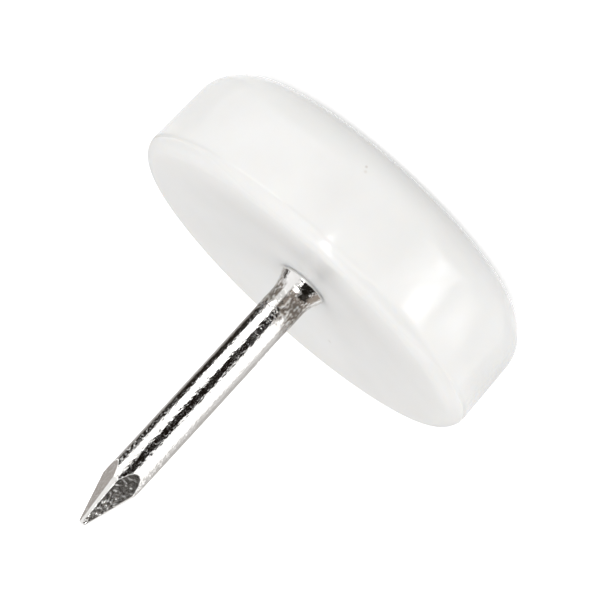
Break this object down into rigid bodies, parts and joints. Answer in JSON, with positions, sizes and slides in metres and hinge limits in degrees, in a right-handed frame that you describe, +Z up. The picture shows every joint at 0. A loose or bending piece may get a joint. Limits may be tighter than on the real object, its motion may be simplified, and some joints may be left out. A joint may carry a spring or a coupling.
{
  "type": "furniture foot",
  "caption": "Round nail-on furniture foot: a moulded white plastic glide pad with a collared steel nail set in its middle.",
  "frame": {"origin": "middle of the flat on the glide face, which stands on the floor", "axes": "+Z up along the nail, from the glide face towards the nail's tip; X and Y square to the four flats of the point"},
  "size_m": [0.025, 0.025, 0.027],
  "materials": {
    "pad_plastic": "smooth glossy white moulding",
    "nail_steel": "bright nickel-plated wire with small drawing and cutting marks"
  },
  "bodies": {
    "root": {"glide_pad": "pad_plastic", "nail": "nail_steel"}
  },
  "joints": []
}
